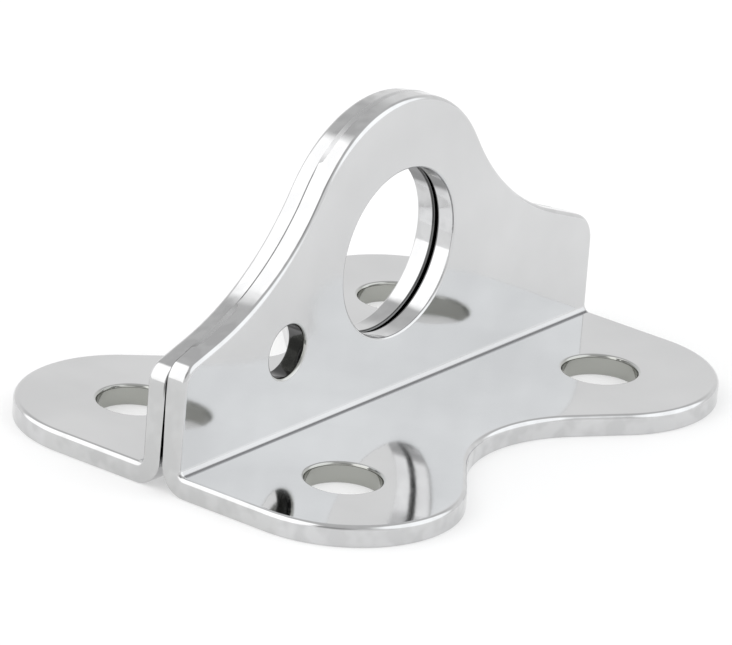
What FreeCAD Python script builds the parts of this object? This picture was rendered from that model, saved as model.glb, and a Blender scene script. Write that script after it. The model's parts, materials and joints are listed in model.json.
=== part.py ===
import FreeCAD, Part
import math
import os
from FreeCAD import Vector as V

# Twin-plate deck eye: two L-shaped pressings stood back to back and joined by three edge welds
# that are ground smooth. The rear upright stands a little lower than the front one.
# X runs along the upright, +Y is to the rear, +Z is up.
# The origin is the middle of the screw pattern on the mounting plane.

sheet = 2.0              # sheet thickness of both pressings
gap = 0.3                # air gap between the two uprights
half_length = 30.0       # uprights, bends and lobes all end at +/- this
bend_inside = 0.6        # inside radius of the bend
edge_round = 0.4         # tumbled rounding on the outward rims and small holes
eye_round = 0.25         # the eye keeps a crisper edge

screw_x = 19.0           # half of the 38 mm screw spacing
screw_y = 12.0           # half of the 24 mm screw spacing
screw_dia = 7.0          # clearance hole for an M6 screw
lobe_radius = half_length - screw_x
front_waist = 14.65      # half width of the front flange between its lobes
front_waist_radius = 13.0
rear_waist = 10.4        # the rear flange is cut in deeper
rear_waist_radius = 4.0

eye_dia = 16.0
eye_z = 15.45
lashing_dia = 5.0        # small hole, front plate only
lashing_x = -15.5
lashing_z = 10.0
relief_dia = 7.2         # opening in the rear plate behind the small hole
relief_x = -12.3
relief_z = 8.4

front_crown = (-0.6, 16.9)    # X and Z of the crown's centre: the bell isn't quite centred on the eye
rear_crown = (-0.05, 16.4)
crown_radius = 13.45
flank_angle = 56.7       # slope of the straight part of the flank, degrees
flank_length = 1.0
flare_radius = 25.2      # concave run-out of the flank
left_shoulder = (17.7, 2.0)   # slope in degrees, then the radius of the end corner
right_shoulder = (20.5, 3.2)

weld_width = 1.2         # fused width across the seam
weld_depth = 1.3         # fused depth below the ground edge
crown_weld_half = 10.5   # the crown weld reaches this far each side of the front crown, in X
foot_weld_from = 19.5    # the foot welds start here, measured from the front crown
foot_weld_to = 27.0
weld_window_z = 8.0      # the welds lie above this height


def polar(cx, cy, r, degrees):
    a = math.radians(degrees)
    return cx + r * math.cos(a), cy + r * math.sin(a)


def arc(p, q, r):
    return Part.Arc(V(*p, 0), V(*q, 0), V(*r, 0)).toShape()


def line(p, q):
    return Part.makeLine(V(*p, 0), V(*q, 0))


def bell_side(crown_z, shoulder_angle):
    """Points of one half of the bell, drawn on the right of x = 0: crown arc, flank, flare arc."""
    a0, a1, a2 = (polar(0, crown_z, crown_radius, 90 - k) for k in (0, flank_angle / 2, flank_angle))
    f = math.radians(flank_angle)
    b0 = a2[0] + flank_length * math.cos(f), a2[1] - flank_length * math.sin(f)
    cx, cy = b0[0] + flare_radius * math.sin(f), b0[1] + flare_radius * math.cos(f)
    middle = (flank_angle + shoulder_angle) / 2
    b1, b2 = (polar(cx, cy, flare_radius, 270 - k) for k in (middle, shoulder_angle))
    return a0, a1, a2, b0, b1, b2


def upright_outline(crown):
    """Closed outline of the upright above the bend, drawn in the XY plane."""
    crown_x, crown_z = crown
    edges = []
    for side, (shoulder_angle, shoulder_corner) in ((1, right_shoulder), (-1, left_shoulder)):
        end_x = half_length - side * crown_x
        a0, a1, a2, b0, b1, b2 = bell_side(crown_z, shoulder_angle)
        slope = math.radians(shoulder_angle)
        reach = shoulder_corner * math.tan((math.pi / 2 - slope) / 2)
        corner_z = b2[1] - (end_x - b2[0]) * math.tan(slope)
        c0 = end_x - reach * math.cos(slope), corner_z + reach * math.sin(slope)
        c2 = end_x, corner_z - reach
        c1 = polar(end_x - shoulder_corner, c2[1], shoulder_corner, (90 - shoulder_angle) / 2)
        low = end_x, sheet + bend_inside
        put = lambda p: (crown_x + side * p[0], p[1])
        a0, a1, a2, b0, b1, b2, c0, c1, c2, low = map(put, (a0, a1, a2, b0, b1, b2, c0, c1, c2, low))
        edges += [arc(a0, a1, a2), line(a2, b0), arc(b0, b1, b2)]
        edges += [line(b2, c0), arc(c0, c1, c2), line(c2, low)]
    floor_z = sheet + bend_inside
    edges.append(line((-half_length, floor_z), (half_length, floor_z)))
    return Part.Wire(Part.__sortEdges__(edges))


def flange_outline(waist, waist_radius, start):
    """Closed outline of a flange lying on +Y: lobes, straight flanks and a waist arc."""
    rise = waist + waist_radius - screw_y
    reach = math.hypot(screw_x, rise)
    lean = 180 - math.degrees(math.atan2(rise, screw_x) + math.acos((lobe_radius + waist_radius) / reach))
    edges = [line((-half_length, start), (half_length, start))]
    for side in (1, -1):
        lobe = [polar(screw_x, screw_y, lobe_radius, a) for a in (0, lean / 2, lean)]
        foot = polar(0, waist + waist_radius, -waist_radius, lean)
        p, q, r, foot = ((side * x, y) for x, y in lobe + [foot])
        edges += [line((side * half_length, start), p), arc(p, q, r), line(r, foot)]
    edges.append(arc((-foot[0], foot[1]), (0, waist), foot))
    return Part.Wire(Part.__sortEdges__(edges))


def stand_up(shape):
    """Turn a shape drawn in XY so that its Y becomes Z; its old Z then points to -Y."""
    shape.rotate(V(0, 0, 0), V(1, 0, 0), 90)
    return shape


def cross_hole(dia, x, z, y_from, y_to):
    return Part.makeCylinder(dia / 2, y_to - y_from, V(x, y_from, z), V(0, 1, 0))


def bend(face_y):
    """Quarter round of sheet that joins an upright with its outer face at face_y to a flange."""
    cy, cz = face_y + bend_inside, sheet + bend_inside
    outer, inner = bend_inside + sheet, bend_inside
    o0, o1, o2 = (polar(cy, cz, outer, a) for a in (180, 225, 270))
    i0, i1, i2 = (polar(cy, cz, inner, a) for a in (180, 225, 270))
    section = Part.Wire([arc(o0, o1, o2), line(o2, i2), arc(i2, i1, i0), line(i0, o0)])
    solid = Part.Face(section).extrude(V(0, 0, 2 * half_length))
    solid.rotate(V(0, 0, 0), V(1, 1, 1), 120)      # drawing X, Y, Z become Y, Z, X
    solid.translate(V(-half_length, 0, 0))
    return solid


def outward(edge):
    """True for the edges round the rim and holes on the side a hand would touch."""
    m = edge.valueAt((edge.FirstParameter + edge.LastParameter) / 2)
    face_y, top = gap / 2 + sheet, sheet
    straight_across = abs(edge.BoundBox.XLength - 2 * half_length) < 1e-6 and edge.BoundBox.YLength < 1e-6
    on_upright = abs(m.y - face_y) < 1e-6 and m.z > top + bend_inside - 1e-6
    on_flange = abs(m.z - top) < 1e-6 and m.y > face_y + bend_inside - 1e-6
    from_axis = math.hypot(m.y - face_y - bend_inside, m.z - top - bend_inside)
    on_bend = abs(from_axis - bend_inside) < 1e-6 and abs(abs(m.x) - half_length) < 1e-6
    return (on_upright or on_flange or on_bend) and not straight_across


def pressing(crown, waist, waist_radius, small_hole):
    """The +Y pressing: upright, bend and flange in one piece of sheet, rims rounded."""
    face_y = gap / 2 + sheet
    upright = stand_up(Part.Face(upright_outline(crown))).extrude(V(0, sheet, 0))
    upright.translate(V(0, gap / 2, 0))
    flange = Part.Face(flange_outline(waist, waist_radius, face_y + bend_inside)).extrude(V(0, 0, sheet))
    body = upright.fuse([bend(face_y), flange]).removeSplitter()
    cutters = [cross_hole(eye_dia, 0, eye_z, 0, face_y + 1), cross_hole(*small_hole, 0, face_y + 1)]
    for x in (-screw_x, screw_x):
        cutters.append(Part.makeCylinder(screw_dia / 2, sheet + 2, V(x, screw_y, -1)))
    body = body.cut(cutters)
    rims = [e for e in body.Edges if outward(e)]
    eye = [e for e in rims if abs(e.Length - math.pi * eye_dia) < 1e-3]
    return body.makeFillet(edge_round, [e for e in rims if e not in eye]).makeFillet(eye_round, eye)


def weld_band(crown, y_from, y_to):
    """Strip of one upright's top edge, weld_depth deep, between two Y positions."""
    face = Part.Face(upright_outline(crown))
    rim = face.cut(face.makeOffset2D(-weld_depth))
    band = stand_up(rim).extrude(V(0, y_to - y_from, 0))
    band.translate(V(0, y_from, 0))
    return band


def edge_weld(x_from, x_to):
    """Ground weld between two X positions. It follows the front edge, then steps down to the rear one."""
    half = weld_width / 2
    band = weld_band(front_crown, -half, 0).fuse(weld_band(rear_crown, 0, half))
    window = Part.makeBox(x_to - x_from, weld_width, crown_radius + front_crown[1],
                          V(x_from, -half, weld_window_z))
    return band.common(window).removeSplitter()


lashing = (lashing_dia, lashing_x, lashing_z)
relief = (relief_dia, relief_x, relief_z)
front = pressing(front_crown, front_waist, front_waist_radius, lashing).mirror(V(0, 0, 0), V(0, 1, 0))
rear = pressing(rear_crown, rear_waist, rear_waist_radius, relief)

middle = front_crown[0]
welds = {
    "crown_weld": edge_weld(middle - crown_weld_half, middle + crown_weld_half),
    "left_foot_weld": edge_weld(middle - foot_weld_to, middle - foot_weld_from),
    "right_foot_weld": edge_weld(middle + foot_weld_from, middle + foot_weld_to),
}
nodes = {
    "front_plate": front.cut(list(welds.values())),
    "rear_plate": rear.cut(list(welds.values())),
}
nodes.update(welds)

os.makedirs("parts", exist_ok=True)
for name, shape in nodes.items():
    solid = shape.Solids[0] if len(shape.Solids) == 1 else shape
    solid.exportStep("parts/" + name + ".step")
    box = solid.optimalBoundingBox(True, False)
    spans = (box.XMin, box.XMax, box.YMin, box.YMax, box.ZMin, box.ZMax)
    print(name, len(shape.Solids), "solid", "valid" if solid.isValid() else "INVALID",
          "volume %.1f" % solid.Volume, "x %.2f %.2f  y %.2f %.2f  z %.2f %.2f" % spans)
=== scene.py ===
import json
from math import acos, atan2, ceil, cos, degrees, hypot, pi, radians, sin, tan

import bmesh
import bpy
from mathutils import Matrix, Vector
from mathutils.geometry import delaunay_2d_cdt


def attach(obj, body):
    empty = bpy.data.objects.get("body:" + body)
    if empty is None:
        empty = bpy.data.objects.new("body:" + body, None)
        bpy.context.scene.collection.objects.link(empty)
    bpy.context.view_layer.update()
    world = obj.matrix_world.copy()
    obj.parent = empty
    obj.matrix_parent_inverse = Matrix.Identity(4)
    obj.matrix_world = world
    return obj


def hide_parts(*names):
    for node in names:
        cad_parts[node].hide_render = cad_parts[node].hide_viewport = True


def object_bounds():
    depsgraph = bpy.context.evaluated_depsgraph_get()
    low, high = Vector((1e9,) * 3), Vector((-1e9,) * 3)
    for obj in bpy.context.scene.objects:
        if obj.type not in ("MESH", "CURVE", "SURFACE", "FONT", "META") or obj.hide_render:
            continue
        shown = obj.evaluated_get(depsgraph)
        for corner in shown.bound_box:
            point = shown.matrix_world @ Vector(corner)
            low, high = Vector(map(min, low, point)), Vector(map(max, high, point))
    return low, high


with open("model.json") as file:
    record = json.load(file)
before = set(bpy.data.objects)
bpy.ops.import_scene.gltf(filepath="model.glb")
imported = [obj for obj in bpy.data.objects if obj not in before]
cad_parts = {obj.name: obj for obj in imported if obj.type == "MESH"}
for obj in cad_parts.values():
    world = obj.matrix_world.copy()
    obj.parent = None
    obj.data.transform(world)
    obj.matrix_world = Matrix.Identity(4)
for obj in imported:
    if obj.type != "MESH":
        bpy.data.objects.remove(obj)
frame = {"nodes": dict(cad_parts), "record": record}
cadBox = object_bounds()
print("frame loaded:", ", ".join(sorted(frame["nodes"])))

# Lengths are in millimetres, and mm turns them to metres where a mesh is made.
mm = 0.001
mounts = {m["name"]: m for m in frame["record"]["mounts"]}
screws, eye = mounts["deck_screws"]["dims"], mounts["eye"]
screwX, screwY = screws["spacing_x_mm"] / 2, screws["spacing_y_mm"] / 2
halfLength = cadBox[1].x / mm
samePoint, onLine = 1e-5, 1e-6      # how near counts as touching


sheetStock = {             # what both pressings are made from
    "thickness": 2.0,
    "gap": 0.3,            # air between the two uprights
    "bendInside": 0.6,     # inside radius of the bend
    "bendSteps": 10,
    "rimRound": 0.48,      # tumbled rounding on the outward rims
    "eyeRound": 0.25,
    "holeRound": 0.32,
    "roundSteps": 7,
    "seamRound": 0.14,     # light deburr on the seam side and the underside
    "eyeSeamRound": 0.24,
    "seamSteps": 3,
    "ringGap": 0.03,       # a wall stays straight until this close to its deburr
}
thick, gap, bendInside = (sheetStock[k] for k in ("thickness", "gap", "bendInside"))
faceY = gap / 2 + thick
bendZ = thick + bendInside          # height where the upright starts
bendY = faceY + bendInside          # distance out where the flange starts
bendLength = pi / 2 * (bendInside + thick / 2)

bellShape = {              # the same on both uprights
    "crownRadius": 13.45,
    "flankAngle": 56.7,
    "flankLength": 1.0,
    "flareRadius": 25.2,
    "shoulders": {1: (20.5, 3.2), -1: (17.7, 2.0)},    # right and left: slope, end corner radius
}

frontPlate = {
    "crown": (-0.6, 16.9),                # X and Z of the crown's centre: a little to the left of the eye
    "waist": 14.65,
    "waistRadius": 13.0,
    "waistStep": 3.5,
    "smallHole": (-15.5, 10.0, 2.5),      # the lashing hole: x, z, radius
    # the lashing hole's wall on this plate gets painted shade
    "smallHoleDark": True,
}
rearPlate = {
    "crown": (-0.05, 16.4),               # stands a little lower than the front one
    "waist": 10.4,                        # and its flange is cut in deeper
    "waistRadius": 4.0,
    "waistStep": 6,
    "smallHole": (-12.3, 8.4, 3.6),       # relief opening behind the lashing hole
    "smallHoleDark": False,
}

outlineSteps = {           # degrees from point to point on the curves, millimetres on the straights
    "corner": 6,
    "flare": 1.6,
    "crown": 2.4,
    "lobe": 3,
    "shoulder": 1.5,
    "flank": 1.0,
    "flange": 1.5,
    "end": 1.2,
    "stopClear": 0.3,      # share of a step that is kept free round a fold line
}


# Outlines are runs of (point, outward normal) on the flat blank.
# On the blank, u is X and s runs up the sheet: below 0 is flange, then the bend, then upright.

def arcRun(cu, cs, r, start, end, step, hollow=False):
    count = max(2, ceil(abs(end - start) / step))
    run = []
    for k in range(count + 1):
        a = radians(start + (end - start) * k / count)
        out = (-cos(a), -sin(a)) if hollow else (cos(a), sin(a))
        run.append(((cu + r * cos(a), cs + r * sin(a)), out))
    return run


def straightRun(p, q, spacing, stops=()):
    length = hypot(q[0] - p[0], q[1] - p[1])
    du, ds = (q[0] - p[0]) / length, (q[1] - p[1]) / length
    count = max(1, ceil(length / spacing))
    marks = {0.0, length} | {length * k / count for k in range(1, count)}
    clear = spacing * outlineSteps["stopClear"]
    marks = {m for m in marks if all(abs(m - t) > clear for t in stops)} | set(stops)
    return [((p[0] + du * m, p[1] + ds * m), (ds, -du)) for m in sorted(marks)]


def joined(runs):
    out = []
    for run in runs:
        for p, n in run:
            if not out or hypot(p[0] - out[-1][0][0], p[1] - out[-1][0][1]) > samePoint:
                out.append((p, n))
    return out


def bellRuns(crown):
    # the top edge of an upright, from its right end over the crown to its left end
    middleX, crownZ = crown
    crownR, flareR, flank = (bellShape[k] for k in ("crownRadius", "flareRadius", "flankLength"))
    flankAngle = bellShape["flankAngle"]
    f = radians(flankAngle)
    crownS = crownZ + (bendLength - bendZ)
    whole = []
    for side in (1, -1):
        angle, corner = bellShape["shoulders"][side]
        slope = radians(angle)
        endU = halfLength - side * middleX
        flankTop = (crownR * sin(f), crownS + crownR * cos(f))
        flankFoot = (flankTop[0] + flank * cos(f), flankTop[1] - flank * sin(f))
        flareMiddle = (flankFoot[0] + flareR * sin(f), flankFoot[1] + flareR * cos(f))
        flareEnd = (flareMiddle[0] - flareR * sin(slope), flareMiddle[1] - flareR * cos(slope))
        reach = corner * tan((pi / 2 - slope) / 2)
        cornerS = flareEnd[1] - (endU - flareEnd[0]) * tan(slope)
        cornerStart = (endU - reach * cos(slope), cornerS + reach * sin(slope))
        half = joined([
            arcRun(endU - corner, cornerS - reach, corner, 0, 90 - angle, outlineSteps["corner"]),
            straightRun(cornerStart, flareEnd, outlineSteps["shoulder"]),
            arcRun(*flareMiddle, flareR, 270 - angle, 270 - flankAngle, outlineSteps["flare"], hollow=True),
            straightRun(flankFoot, flankTop, outlineSteps["flank"]),
            arcRun(0, crownS, crownR, 90 - flankAngle, 90, outlineSteps["crown"]),
        ])
        half = [((middleX + side * p[0], p[1]), (side * n[0], n[1])) for p, n in half]
        whole = half if side == 1 else whole + half[::-1][1:]
    return whole


def flangeRuns(plate):
    # from the left end round the lobes and the waist to the right end
    lobe = halfLength - screwX
    waist, waistRadius = plate["waist"], plate["waistRadius"]
    rise = waist + waistRadius - screwY
    lean = 180 - degrees(atan2(rise, screwX) + acos((lobe + waistRadius) / hypot(screwX, rise)))
    lobeS, waistS = bendY - screwY, bendY - (waist + waistRadius)
    left = arcRun(-screwX, lobeS, lobe, 180, 180 + lean, outlineSteps["lobe"])
    middle = arcRun(0, waistS, waistRadius, lean, 180 - lean, plate["waistStep"], hollow=True)
    right = arcRun(screwX, lobeS, lobe, 360 - lean, 360, outlineSteps["lobe"])
    return joined([left, straightRun(left[-1][0], middle[0][0], outlineSteps["flange"]), middle,
                   straightRun(middle[-1][0], right[0][0], outlineSteps["flange"]), right])


def blankOutline(plate):
    # the whole rim of the blank, and the height on it of each fold line of the bend
    folds = [bendLength * k / sheetStock["bendSteps"] for k in range(sheetStock["bendSteps"] + 1)]
    below, above = flangeRuns(plate), bellRuns(plate["crown"])
    low, high = below[-1][0][1], above[0][0][1]
    step = outlineSteps["end"]
    rightEnd = straightRun((halfLength, low), (halfLength, high), step, [s - low for s in folds])
    leftEnd = straightRun((-halfLength, high), (-halfLength, low), step, [high - s for s in folds[::-1]])
    return joined([below, rightEnd, above, leftEnd])[:-1], folds


def insideLoop(u, s, loop, margin):
    inside = False
    for i in range(len(loop)):
        (au, av), (bu, bv) = loop[i - 1][0], loop[i][0]
        if (av > s) != (bv > s) and u < (bu - au) * (s - av) / (bv - av) + au:
            inside = not inside
        if hypot(u - bu, s - bv) < margin:
            return False
    return inside


def bent(u, s, t, nu, ns, nt, side):
    # t is depth below the outward face; (nu, ns, nt) is the normal there, nt pointing out of that face
    if s >= bendLength:
        y, z = faceY - t, bendZ + s - bendLength
        up, out = (0.0, 1.0), (1.0, 0.0)
    elif s <= 0:
        y, z = bendY - s, thick - t
        up, out = (-1.0, 0.0), (0.0, 1.0)
    else:
        a = s / bendLength * pi / 2        # 0 on the flange, 90 degrees on the upright
        r = bendInside + t
        y, z = bendY - r * sin(a), bendZ - r * cos(a)
        up, out = (-cos(a), sin(a)), (sin(a), cos(a))
    ny, nz = ns * up[0] + nt * out[0], ns * up[1] + nt * out[1]
    return Vector((u, side * y, z)) * mm, Vector((nu, side * ny, nz))


weldRuns = {               # along X, measured from the front crown
    "crown": (-10.5, 10.5),
    "leftFoot": (-27.0, -19.5),
    "rightFoot": (19.5, 27.0),
}

seamEdge = {               # the top edges, where the two plates meet
    "weldFade": 1.1,       # length over which a weld tapers off
    "weldFloor": 4.0,      # no weld lies lower than this above the bend
    "capHalf": 0.6,        # half width of the dressed weld
    "capClear": 0.02,      # the edges reach this far in under it
    "recess": 0.02,        # how far the edges are let down under it
    "fusedRound": 0.01,    # what is left of the deburr under it
    "openHalf": 0.045,     # half the line left between the edges where they aren't fused
    "lipRound": 0.14,
    "lipDepth": 1.2,       # the edges lean together over this depth
    "lipRise": 7.0,        # and come together over this height above the bend
}


def weldCover(u, s):
    # 1 where the two top edges are fused, falling to 0 over the last bit of each weld
    if s < bendLength + seamEdge["weldFloor"]:
        return 0.0
    x = u - frontPlate["crown"][0]
    inside = max(min(x - a, b - x) for a, b in weldRuns.values())
    return min(1.0, max(0.0, inside / seamEdge["weldFade"]))


def seamShape(u, s):
    # (deburr radius, lean towards the other plate, let-down under the weld) at a point of the outline
    cover = weldCover(u, s)
    high = min(1.0, max(0.0, (s - bendLength) / seamEdge["lipRise"]))
    high = high * high * (3 - 2 * high)
    lip = (gap / 2 - seamEdge["openHalf"]) * high
    radius = sheetStock["seamRound"] * (1 - high) + seamEdge["lipRound"] * high
    return radius * (1 - cover) + seamEdge["fusedRound"] * cover, lip, seamEdge["recess"] * cover


# A profile goes down an edge, ring by ring: (inset, depth, share of edge normal, share of outward normal).

def outwardRound(radius):
    steps = sheetStock["roundSteps"]
    turns = [pi / 2 * k / steps for k in range(steps + 1)]
    return [(radius * (1 - sin(a)), radius * (1 - cos(a)), sin(a), cos(a)) for a in turns]


def seamRounding(radius, lip, recess):
    steps = sheetStock["seamSteps"]
    turns = [pi / 2 * k / steps for k in range(steps + 1)]
    return [(recess + radius * (1 - cos(a)), thick + lip - radius * (1 - sin(a)), cos(a), -sin(a)) for a in turns]


def edgeProfile(u, s, outRound, hole):
    # the profile, and how many of its rings come before the seam side
    if hole:
        radius = sheetStock["eyeSeamRound" if hole["isEye"] else "seamRound"]
        wall = outwardRound(outRound) + [(0.0, thick - radius - sheetStock["ringGap"], 1.0, 0.0)]
        return wall + seamRounding(radius, 0, 0), len(wall)
    radius, lip, recess = seamShape(u, s)
    capEdge = thick + gap / 2 - seamEdge["capHalf"] - seamEdge["capClear"]
    wall = outwardRound(outRound) + [
        (0.0, capEdge, 1.0, 0.0),
        (recess, thick + lip - radius - sheetStock["ringGap"], 1.0, 0.0),
    ]
    return wall + seamRounding(radius, lip, recess) + [(seamEdge["lipDepth"], thick, 0.0, -1.0)], len(wall)


facets = {                 # the net of points on the faces
    "spacing": 1.6,
    "rowShare": 0.87,          # distance between rows, as a share of the spacing
    "rimClear": (1.0, 1.8),    # kept free along the rim: outward face, seam side with its leaning lips
    "holeClear": 1.1,
    "holeCut": 0.02,       # triangles with their middle this close to a hole lie inside it
    "foldClear": 0.5,
    "endClear": 1.0,
    "eyeSteps": 112,
    "smallHoleSteps": 56,
    "screwHoleSteps": 64,
}
dullingAndShade = {                # how much of each finish and of the painted shade a place gets
    "end": 0.15,           # the sheared ends stay a little duller and take a little painted shade
    "endReach": 0.1,
    # painted shade in the open seam on top and in the seam inside the eye
    "openSeam": 0.75,
    "eyeSeam": 0.9,
    "creaseDark": (0.08, 0.36),    # share of the way up the bend that gets painted shade and is left rougher
    "creasePale": 0.3,             # what is left of it above that
    "creaseTop": 0.75,             # and where it ends
}
finishAndShadeMarks = ("rim", "bore", "crease", "paintedShade")    # finish and painted shade, written on the points for the polish to read


def creaseShare(s):
    share = s / bendLength
    start, stop = dullingAndShade["creaseDark"]
    if start < share < stop:
        return 1.0
    return dullingAndShade["creasePale"] if stop < share < dullingAndShade["creaseTop"] else 0.0


def paintedShadeShare(u, s, hole, ring, seamFrom):
    # painted shade: the lashing hole's wall, the seam inside the eye and the open seam on top
    if hole and hole["dark"] and ring >= sheetStock["roundSteps"]:
        return 1.0
    if ring < seamFrom:
        return 0.0
    if hole:
        return dullingAndShade["eyeSeam"] if hole["isEye"] else 0.0
    return dullingAndShade["openSeam"] * (1 - weldCover(u, s)) if s > bendLength + seamEdge["lipRise"] else 0.0


def newHole(u, s, r, steps, outRound, isEye=False, dark=False):
    return {"u": u, "s": s, "r": r, "steps": steps, "round": outRound, "isEye": isEye, "dark": dark}


def holesIn(plate):
    toS = lambda z: z - bendZ + bendLength
    x, z, r = plate["smallHole"]
    eyeX, eyeZ = eye["pos_m"][0] / mm, eye["pos_m"][2] / mm
    eyeRound, holeRound = sheetStock["eyeRound"], sheetStock["holeRound"]
    holes = [newHole(eyeX, toS(eyeZ), eye["dims"]["r_mm"], facets["eyeSteps"], eyeRound, isEye=True),
             newHole(x, toS(z), r, facets["smallHoleSteps"], holeRound, dark=plate["smallHoleDark"])]
    for u in (-screwX, screwX):
        holes.append(newHole(u, bendY - screwY, screws["hole_r_mm"], facets["screwHoleSteps"], holeRound))
    return holes


def holeLoop(hole):
    loop = []
    for k in range(hole["steps"]):
        a = -2 * pi * k / hole["steps"]
        loop.append(((hole["u"] + hole["r"] * cos(a), hole["s"] + hole["r"] * sin(a)), (-cos(a), -sin(a))))
    return loop


def addPoint(skin, pointAndNormal, marks):
    point, normal = pointAndNormal
    skin["points"].append(point)
    skin["normals"].append(normal)
    for label, value in zip(finishAndShadeMarks, marks):
        skin[label].append(value)


def addEdge(skin, loop, outRound, hole, side):
    # the wall of sheet along the rim or a hole, from the outward face to the seam side
    profiles, seamStarts = zip(*(edgeProfile(u, s, outRound, hole) for (u, s), _ in loop))
    count, rings, start = len(loop), len(profiles[0]), len(skin["points"])
    for j in range(rings):
        for ((u, s), (nu, ns)), profile, seamFrom in zip(loop, profiles, seamStarts):
            inset, depth, edgeShare, outShare = profile[j]
            placed = bent(u - nu * inset, s - ns * inset, depth, nu * edgeShare, ns * edgeShare, outShare, side)
            # bore marks the duller punched walls and sheared ends, and paints shade on them
            if hole:
                bore = 0.0 if hole["isEye"] else edgeShare
            else:
                bore = edgeShare * dullingAndShade["end"] if abs(u) > halfLength - dullingAndShade["endReach"] else 0.0
            crease = creaseShare(s) if j == 0 and hole is None else 0.0
            addPoint(skin, placed, (edgeShare, bore, crease, paintedShadeShare(u, s, hole, j, seamFrom)))
    for j in range(rings - 1):
        for i in range(count):
            a, b = start + j * count + i, start + j * count + (i + 1) % count
            skin["faces"].append((a, b, b + count, a + count))
    return {"loop": loop, "hole": hole, "profiles": profiles, "first": start, "last": start + (rings - 1) * count}


def addFace(skin, edgeRings, folds, outward, side):
    # fills one face of the sheet with a net of triangles between the edges
    flat, index, edges = [], [], []
    for ring in edgeRings:
        begin, loop = len(flat), ring["loop"]
        for i, ((u, s), (nu, ns)) in enumerate(loop):
            inset = ring["profiles"][i][0 if outward else -1][0]
            flat.append(Vector((u - nu * inset, s - ns * inset)))
            index.append(ring["first" if outward else "last"] + i)
        edges += [(begin + i, begin + (i + 1) % len(loop)) for i in range(len(loop))]
        if ring["hole"] is None:
            for fold in folds:
                ends = [begin + i for i, ((u, s), _) in enumerate(loop)
                        if abs(s - fold) < onLine and abs(abs(u) - halfLength) < onLine]
                if len(ends) == 2:
                    edges.append(tuple(ends))

    outline = edgeRings[0]["loop"]
    holes = [(ring["hole"], ring["profiles"][0][0 if outward else -1][0]) for ring in edgeRings[1:]]
    spacing, rimClear = facets["spacing"], facets["rimClear"][0 if outward else 1]
    rows = int(2 * halfLength / spacing)
    for row in range(-rows, rows):
        s = row * spacing * facets["rowShare"]
        if -facets["foldClear"] < s < bendLength + facets["foldClear"]:
            continue
        for column in range(-rows, rows):
            u = (column + 0.5 * (row % 2)) * spacing
            if abs(u) > halfLength - facets["endClear"] or not insideLoop(u, s, outline, rimClear):
                continue
            if all(hypot(u - h["u"], s - h["s"]) > h["r"] + facets["holeClear"] for h, _ in holes):
                flat.append(Vector((u, s)))
                index.append(None)

    made, _, triangles, origin, _, _ = delaunay_2d_cdt(flat, edges, [list(range(len(outline)))], 1, onLine)
    numbers = []
    for k, p in enumerate(made):
        known = [index[o] for o in origin[k] if index[o] is not None]
        numbers.append(known[0] if known else len(skin["points"]))
        if not known:
            placed = bent(p[0], p[1], 0.0 if outward else thick, 0, 0, 1 if outward else -1, side)
            addPoint(skin, placed, (0.0, 0.0, creaseShare(p[1]) if outward else 0.0, 0.0))
    for tri in triangles:
        mid = sum((made[k] for k in tri), Vector((0, 0))) / 3
        if all(hypot(mid.x - h["u"], mid.y - h["s"]) >= h["r"] + (inset + facets["holeCut"]) for h, inset in holes):
            skin["faces"].append(tuple(numbers[k] for k in tri))


def meshFrom(name, points, faces, marks, normals):
    mesh = bpy.data.meshes.new(name)
    mesh.from_pydata(points, [], faces)
    for label, values in marks.items():
        mesh.attributes.new(label, "FLOAT", "POINT").data.foreach_set("value", values)
    work = bmesh.new()
    work.from_mesh(mesh)
    bmesh.ops.triangulate(work, faces=[f for f in work.faces if len(f.verts) > 4])
    bmesh.ops.recalc_face_normals(work, faces=work.faces)
    openEdges = sum(len(e.link_faces) != 2 for e in work.edges)
    work.to_mesh(mesh)
    work.free()
    mesh.shade_smooth()
    mesh.normals_split_custom_set_from_vertices(normals)
    print(name, len(mesh.vertices), "vertices,", openEdges, "open edges")
    return mesh


def makePressing(name, plate, side):
    # side is -1 for the front plate and 1 for the rear one
    skin = {k: [] for k in ("points", "normals", "faces", *finishAndShadeMarks)}
    outline, folds = blankOutline(plate)
    edgeRings = [addEdge(skin, outline, sheetStock["rimRound"], None, side)]
    for hole in holesIn(plate):
        edgeRings.append(addEdge(skin, holeLoop(hole), hole["round"], hole, side))
    for outward in (True, False):
        addFace(skin, edgeRings, folds, outward, side)
    normals = [n.normalized() for n in skin["normals"]]
    return meshFrom(name, skin["points"], skin["faces"], {k: skin[k] for k in finishAndShadeMarks}, normals)


weldCap = {                # bridges the two top edges, dressed smooth
    "depth": 1.0,
    "endTaper": 2.2,       # the cap narrows over this length
    "rootShare": 0.45,     # width of the root run between the caps
    "rootSink": 0.06,      # and how far it lies below the edges
    "sinkFade": 1.6,       # how soon a cap comes up out of it
    "stepShade": 0.12,     # the step down to the rear edge gets painted shade
    "stepTurn": 0.12,      # and is shaded turning this much to the rear
    "spacing": 0.35,
    "rootReach": (-19.7, 19.7),    # the crown's root run goes on to the foot welds
    # each point of the section: across the seam, how far down, share of the step to the rear edge taken
    "top": [(-1.0, 0.03, 0.0), (-0.94, 0.004, 0.0), (-0.8, 0.0, 0.0), (-0.45, 0.0, 0.0), (-0.08, 0.0, 0.0),
            (0.04, 0.0, 0.08), (0.16, 0.0, 0.28), (0.28, 0.0, 0.52), (0.42, 0.0, 0.77), (0.6, 0.0, 0.95),
            (0.8, 0.0, 1.0), (0.94, 0.004, 1.0), (1.0, 0.03, 1.0)],
    # below the surface, how far down is a share of the depth
    "bottom": [(0.8, 0.5, 1.0), (0.4, 1.0, 1.0), (-0.4, 1.0, 1.0), (-0.8, 0.6, 1.0)],
}


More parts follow.
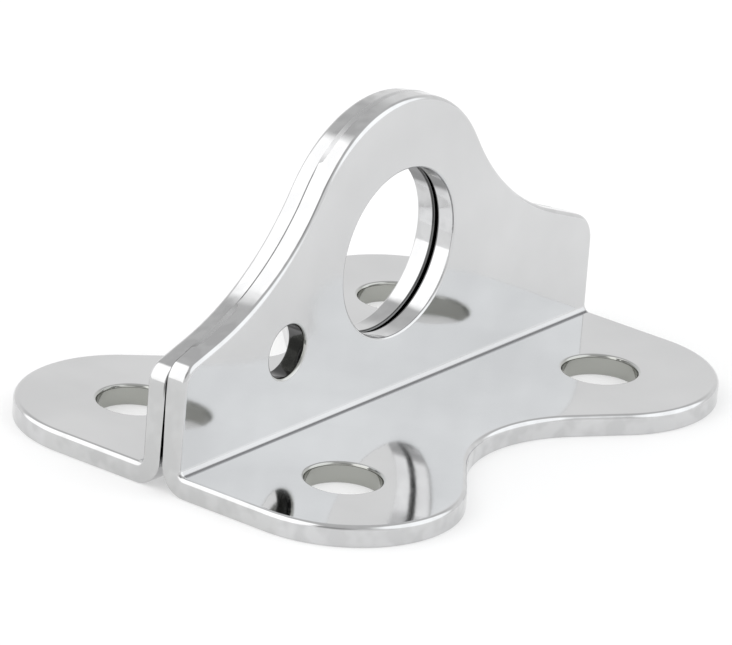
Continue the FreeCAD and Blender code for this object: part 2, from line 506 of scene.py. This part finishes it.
def edgeAt(line, x):
    # height and outward normal of an upright's top edge at x
    for (p, n), (q, m) in zip(line, line[1:]):
        if q[0] <= x <= p[0]:
            f = (p[0] - x) / max(1e-9, p[0] - q[0])
            out = Vector((n[0] * (1 - f) + m[0] * f, n[1] * (1 - f) + m[1] * f)).normalized()
            return p[1] * (1 - f) + q[1] * f, out
    return line[0][0][1], Vector(line[0][1])


def makeWeld(name, run, reach):
    # run is where the cap is full, reach how far its root goes on below the surface
    frontLine, rearLine = bellRuns(frontPlate["crown"]), bellRuns(rearPlate["crown"])
    middle = frontPlate["crown"][0]
    low, high = reach[0] + middle, reach[1] + middle
    count = ceil((high - low) / weldCap["spacing"])
    section = weldCap["top"] + [(across, share * weldCap["depth"], step) for across, share, step in weldCap["bottom"]]
    points, normals, faces, roots = [], [], [], []
    for k in range(count + 1):
        x = high + (low - high) * k / count
        room = min(x - middle - run[0], run[1] - x + middle) / weldCap["endTaper"]
        cap = sin(max(0.0, min(1.0, room)) * pi / 2)
        wide = seamEdge["capHalf"] * (weldCap["rootShare"] + (1 - weldCap["rootShare"]) * cap)
        sink = weldCap["rootSink"] * (1 - min(1.0, cap * weldCap["sinkFade"]))
        (frontS, frontOut), (rearS, rearOut) = edgeAt(frontLine, x), edgeAt(rearLine, x)
        for across, down, step in section:
            out = frontOut.lerp(rearOut, step).normalized()
            d = sink + down
            s = frontS + (rearS - frontS) * step
            points.append(Vector((x - out.x * d, across * wide, bendZ + s - bendLength - out.y * d)) * mm)
            # shaded as one dressed face
            normals.append(Vector((out.x, weldCap["stepTurn"] * step, out.y)).normalized())
            # painted shade where the root shows between the caps and on the step to the rear edge
            roots.append(max(1 - cap, weldCap["stepShade"] * 4 * step * (1 - step)))
    size = len(section)
    for k in range(count):
        for i in range(size):
            a, b = k * size + i, k * size + (i + 1) % size
            faces.append((a, b, b + size, a + size))
    faces.append(tuple(range(size)))
    faces.append(tuple(range(len(points) - size, len(points))))
    return meshFrom(name, points, faces, {"root": roots}, normals)


def newGroup(name, inputs, outputs):
    group = bpy.data.node_groups.new(name, "ShaderNodeTree")
    for label, kind, value in inputs:
        socket = group.interface.new_socket(name=label, in_out="INPUT", socket_type=kind)
        if value is not None:
            socket.default_value = value
    for label, kind in outputs:
        group.interface.new_socket(name=label, in_out="OUTPUT", socket_type=kind)
    return group, group.nodes.new("NodeGroupInput"), group.nodes.new("NodeGroupOutput")


def mathNode(tree, operation, a, b=None, c=None):
    node = tree.nodes.new("ShaderNodeMath")
    node.operation = operation
    for socket, value in zip(node.inputs, (a, b, c)):
        if value is None:
            continue
        if isinstance(value, (int, float)):
            socket.default_value = value
        else:
            tree.links.new(value, socket)
    return node.outputs[0]


def noiseNode(tree, vector, scale, detail=2.0):
    node = tree.nodes.new("ShaderNodeTexNoise")
    node.inputs["Detail"].default_value = detail
    if isinstance(scale, (int, float)):
        node.inputs["Scale"].default_value = scale
    else:
        tree.links.new(scale, node.inputs["Scale"])
    tree.links.new(vector, node.inputs["Vector"])
    return node.outputs["Fac"]


def rangeNode(tree, value, low, high, smooth=False):
    # 0 below low, 1 above high
    node = tree.nodes.new("ShaderNodeMapRange")
    if smooth:
        node.interpolation_type = "SMOOTHSTEP"
    tree.links.new(value, node.inputs["Value"])
    node.inputs["From Min"].default_value, node.inputs["From Max"].default_value = low, high
    return node.outputs["Result"]


def attributeNode(tree, label):
    node = tree.nodes.new("ShaderNodeAttribute")
    node.attribute_name = label
    return node.outputs["Fac"]


def mixColour(tree, share, a, b):
    node = tree.nodes.new("ShaderNodeMix")
    node.data_type = "RGBA"
    tree.links.new(share, node.inputs["Factor"])
    for socket, value in ((node.inputs[6], a), (node.inputs[7], b)):    # the two colour sockets
        if isinstance(value, tuple):
            socket.default_value = (*value, 1)
        else:
            tree.links.new(value, socket)
    return node.outputs[2]


def mixValue(tree, share, a, b):
    return mathNode(tree, "MULTIPLY_ADD", share, mathNode(tree, "SUBTRACT", b, a), a)


def dimmed(colour, share):
    return tuple(c * share for c in colour)


def bumpInto(tree, shader, height, distance):
    bump = tree.nodes.new("ShaderNodeBump")
    bump.inputs["Distance"].default_value = distance
    tree.links.new(height, bump.inputs["Height"])
    tree.links.new(bump.outputs["Normal"], shader.inputs["Normal"])


buffing = {
    "stretch": (0.03, 1.0, 1.0),     # the marks run along X
    "tilt": (0.0, 0.12, 0.05),
    "cloudEdges": (0.35, 0.65),
}


def tumbledRipple():
    # long soft waves left by tumbling, plus a short ripple where an edge was dressed
    group, start, end = newGroup("tumbledRipple", [
        ("Vector", "NodeSocketVector", None), ("Wave Scale", "NodeSocketFloat", 150.0),
        ("Short Scale", "NodeSocketFloat", 900.0), ("Short Share", "NodeSocketFloat", 0.1)],
        [("Height", "NodeSocketFloat")])
    wave = noiseNode(group, start.outputs["Vector"], start.outputs["Wave Scale"], 1.0)
    short = noiseNode(group, start.outputs["Vector"], start.outputs["Short Scale"])
    group.links.new(mathNode(group, "MULTIPLY_ADD", short, start.outputs["Short Share"], wave), end.inputs["Height"])
    return group


def buffMarks():
    # hair-fine marks of the last buff, and a cloudy mask of where the polish is hazier
    group, start, end = newGroup("buffMarks", [
        ("Vector", "NodeSocketVector", None), ("Fineness", "NodeSocketFloat", 5200.0),
        ("Cloud Scale", "NodeSocketFloat", 90.0)],
        [("Lines", "NodeSocketFloat"), ("Cloud", "NodeSocketFloat")])
    stretch = group.nodes.new("ShaderNodeMapping")
    stretch.inputs["Scale"].default_value = buffing["stretch"]
    stretch.inputs["Rotation"].default_value = buffing["tilt"]
    group.links.new(start.outputs["Vector"], stretch.inputs["Vector"])
    lines = noiseNode(group, stretch.outputs["Vector"], start.outputs["Fineness"], 1.0)
    cloud = noiseNode(group, start.outputs["Vector"], start.outputs["Cloud Scale"], 3.0)
    group.links.new(lines, end.inputs["Lines"])
    group.links.new(rangeNode(group, cloud, *buffing["cloudEdges"]), end.inputs["Cloud"])
    return group


groups = {"ripple": tumbledRipple(), "buff": buffMarks()}

stainless = {
    "colour": (0.655, 0.657, 0.661),
    "cloudDimming": 0.935,
    "blotchColour": (0.575, 0.576, 0.58),    # mottling of the tumbled edges
    "blotchEdges": (0.45, 0.65),
    "boreShadeColour": (0.40, 0.405, 0.38),       # punched walls stay duller, and painted shade darkens them
    "paintedShadeColour": (0.10, 0.10, 0.10),        # painted shade in the lashing hole, the eye's seam and the open seam on top
    # painted shade in the inside corner of the bend
    "creaseShadeColour": (0.27, 0.27, 0.28),
    "roughness": (0.045, 0.085),             # between the best and the cloudiest polish
    "lineRoughness": 0.02,                   # added by the buff marks
    "boreRoughness": 0.09,
    "creaseRoughness": 0.2,                  # added in the bend
    "waveHeight": 0.000018,
    "edgeScale": 620.0,
    "edgeHeight": 0.000014,
}
weldFinish = {
    "colour": (0.60, 0.602, 0.606),
    "cloudDimming": 0.9,
    "cloudScale": 500.0,
    "rootShadeColour": (0.13, 0.13, 0.13),        # painted shade in the unfilled seam between the caps
    "roughness": (0.24, 0.34),
    "waveScale": 420.0,
    "shortShare": 0.25,
    "waveHeight": 0.00003,
}


def steelBase(name):
    mat = bpy.data.materials.new(name)
    mat.use_nodes = True
    tree = mat.node_tree
    shader = tree.nodes["Principled BSDF"]
    shader.inputs["Metallic"].default_value = 1.0
    return mat, tree, shader, tree.nodes.new("ShaderNodeTexCoord").outputs["Object"]


def effect(tree, key, where, values):
    node = tree.nodes.new("ShaderNodeGroup")
    node.node_tree = groups[key]
    tree.links.new(where, node.inputs["Vector"])
    for label, value in values.items():
        node.inputs[label].default_value = value
    return node.outputs


def polishedStainless():
    s = stainless
    mat, tree, shader, where = steelBase("polishedStainless")
    rim, bore, crease, paintedShade = (attributeNode(tree, k) for k in finishAndShadeMarks)
    buff = effect(tree, "buff", where, {})
    wave = effect(tree, "ripple", where, {})["Height"]
    edgeWave = effect(tree, "ripple", where, {"Wave Scale": s["edgeScale"]})["Height"]

    colour = mixColour(tree, buff["Cloud"], s["colour"], dimmed(s["colour"], s["cloudDimming"]))
    blotch = mathNode(tree, "MULTIPLY", rangeNode(tree, edgeWave, *s["blotchEdges"]), rim)
    # the edge blotches are the steel's own mottling; the crease, bore and dark marks add painted shade
    for share, key in ((blotch, "blotchColour"), (crease, "creaseShadeColour"),
                       (bore, "boreShadeColour"), (paintedShade, "paintedShadeColour")):
        colour = mixColour(tree, share, colour, s[key])
    tree.links.new(colour, shader.inputs["Base Color"])

    best, worst = s["roughness"]
    haze = mathNode(tree, "MULTIPLY_ADD", buff["Cloud"], worst - best, best)
    haze = mathNode(tree, "MULTIPLY_ADD", buff["Lines"], s["lineRoughness"], haze)
    haze = mixValue(tree, bore, haze, s["boreRoughness"])
    haze = mathNode(tree, "MULTIPLY_ADD", crease, s["creaseRoughness"], haze)
    tree.links.new(haze, shader.inputs["Roughness"])

    edgeShare = mathNode(tree, "MULTIPLY", rim, s["edgeHeight"] / s["waveHeight"])
    onRims = mathNode(tree, "MULTIPLY", edgeWave, edgeShare)
    bumpInto(tree, shader, mathNode(tree, "ADD", wave, onRims), s["waveHeight"])
    return mat


def dressedWeld():
    w = weldFinish
    mat, tree, shader, where = steelBase("dressedWeld")
    cloud = effect(tree, "buff", where, {"Cloud Scale": w["cloudScale"]})["Cloud"]
    wave = effect(tree, "ripple", where, {"Wave Scale": w["waveScale"], "Short Share": w["shortShare"]})["Height"]
    colour = mixColour(tree, cloud, w["colour"], dimmed(w["colour"], w["cloudDimming"]))
    # painted shade in the weld's root and on its step
    colour = mixColour(tree, attributeNode(tree, "root"), colour, w["rootShadeColour"])
    tree.links.new(colour, shader.inputs["Base Color"])
    best, worst = w["roughness"]
    tree.links.new(mathNode(tree, "MULTIPLY_ADD", cloud, worst - best, best), shader.inputs["Roughness"])
    bumpInto(tree, shader, wave, w["waveHeight"])
    return mat


def addPiece(mesh, name, node, material):
    piece = bpy.data.objects.new(name, mesh)
    bpy.context.scene.collection.objects.link(piece)
    mesh.materials.append(material)
    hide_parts(node)
    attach(piece, "root")


steel, weldSteel = polishedStainless(), dressedWeld()
print("finishes made")
for label, plate, side, piece, node in (
        ("frontPressing", frontPlate, -1, "front_pressing", "front_plate"),
        ("rearPressing", rearPlate, 1, "rear_pressing", "rear_plate")):
    addPiece(makePressing(label, plate, side), piece, node, steel)
for run, reach, piece, node in (
        ("crown", weldCap["rootReach"], "crown_weld_cap", "crown_weld"),
        ("leftFoot", weldRuns["leftFoot"], "left_weld_cap", "left_foot_weld"),
        ("rightFoot", weldRuns["rightFoot"], "right_weld_cap", "right_foot_weld")):
    addPiece(makeWeld(piece, weldRuns[run], reach), piece, node, weldSteel)
print("pieces placed")


studio = {
    "floorSize": 6.0,
    "floorDrop": 0.00002,    # keeps the floor just clear of the underside
    "floorColour": (0.54, 0.54, 0.54),
    "floorDimming": 0.985,   # of its faint clouds
    "floorCloudScale": 3.0,
    "floorRoughness": 0.85,
    "floorShine": 0.2,
    "floorGlow": 0.43,
    "wallLight": 0.94,       # the pale walls round the table
    "ceilingLight": 0.66,    # the dimmer part overhead
    "wallTop": (0.36, 0.68),  # sine of the elevation where one turns into the other
}
glowCards = [                # large soft panels in the room, angles in degrees
    {"towards": (-0.692, 0.555, 0.462), "halfAngle": 45.0, "soft": 5.0, "strength": 1.72, "tint": (1.0, 1.0, 1.0)},
    {"towards": (0.434, -0.695, 0.574), "halfAngle": 34.0, "soft": 7.0, "strength": 1.55, "tint": (0.975, 0.99, 1.0)},
    {"towards": (-0.70, -0.42, 0.58), "halfAngle": 17.0, "soft": 6.0, "strength": 0.45, "tint": (1.0, 1.0, 1.0)},
]
overhead = {"power": 1.2, "size": (1.2, 1.2), "place": (0.0, -0.2, 1.3), "aim": (0, 0, 0)}


def makeFloor():
    bpy.ops.mesh.primitive_plane_add(size=studio["floorSize"], location=(0, 0, -studio["floorDrop"]))
    floor = bpy.context.object
    floor.name = "studioFloor"
    mat = bpy.data.materials.new("paleFloor")
    mat.use_nodes = True
    tree = mat.node_tree
    shader = tree.nodes["Principled BSDF"]
    where = tree.nodes.new("ShaderNodeTexCoord").outputs["Object"]
    cloud = noiseNode(tree, where, studio["floorCloudScale"])
    pale = studio["floorColour"]
    colour = mixColour(tree, cloud, pale, dimmed(pale, studio["floorDimming"]))
    tree.links.new(colour, shader.inputs["Base Color"])
    shader.inputs["Roughness"].default_value = studio["floorRoughness"]
    shader.inputs["Specular IOR Level"].default_value = studio["floorShine"]
    shader.inputs["Emission Color"].default_value = (1, 1, 1, 1)
    shader.inputs["Emission Strength"].default_value = studio["floorGlow"]
    floor.data.materials.append(mat)


def makeRoom():
    world = bpy.data.worlds.new("studioRoom")
    bpy.context.scene.world = world
    world.use_nodes = True
    tree = world.node_tree
    heading = tree.nodes.new("ShaderNodeTexCoord").outputs["Generated"]
    split = tree.nodes.new("ShaderNodeSeparateXYZ")
    tree.links.new(heading, split.inputs[0])
    rise = rangeNode(tree, split.outputs["Z"], *studio["wallTop"], smooth=True)
    colour = mixColour(tree, rise, (studio["wallLight"],) * 3, (studio["ceilingLight"],) * 3)
    for card in glowCards:
        facing = tree.nodes.new("ShaderNodeVectorMath")
        facing.operation = "DOT_PRODUCT"
        tree.links.new(heading, facing.inputs[0])
        facing.inputs[1].default_value = Vector(card["towards"]).normalized()
        outer = cos(radians(card["halfAngle"] + card["soft"]))
        inner = cos(radians(card["halfAngle"] - card["soft"]))
        glow = rangeNode(tree, facing.outputs["Value"], outer, inner, smooth=True)
        colour = mixColour(tree, glow, colour, dimmed(card["tint"], card["strength"]))
    tree.links.new(colour, tree.nodes["Background"].inputs["Color"])


def softbox(name, power, size, place, aim):
    lamp = bpy.data.lights.new(name, "AREA")
    lamp.shape = "RECTANGLE"
    lamp.size, lamp.size_y = size
    lamp.energy = power
    holder = bpy.data.objects.new(name, lamp)
    bpy.context.scene.collection.objects.link(holder)
    holder.location = place
    holder.rotation_euler = (Vector(aim) - Vector(place)).to_track_quat("-Z", "Y").to_euler()
    holder.visible_glossy = False        # lights the table without showing in the polish


makeFloor()
makeRoom()
softbox("overhead", **overhead)

viewPoint = {
    "place": (-0.533367, -0.395726, 0.271258),
    "turn": (68.31378, -4.20453, -51.68637),    # degrees
    "lens": 387.35,
    "sensor": 36,
    "clip": (0.01, 50),
}
cameraData = bpy.data.cameras.new("mainCamera")
cameraData.lens, cameraData.sensor_width = viewPoint["lens"], viewPoint["sensor"]
cameraData.sensor_fit = "HORIZONTAL"
cameraData.clip_start, cameraData.clip_end = viewPoint["clip"]
camera = bpy.data.objects.new("mainCamera", cameraData)
camera.location = viewPoint["place"]
camera.rotation_euler = [radians(a) for a in viewPoint["turn"]]
bpy.context.scene.collection.objects.link(camera)
bpy.context.scene.camera = camera
bpy.context.scene.view_settings.view_transform = "Standard"
print("studio and camera set")
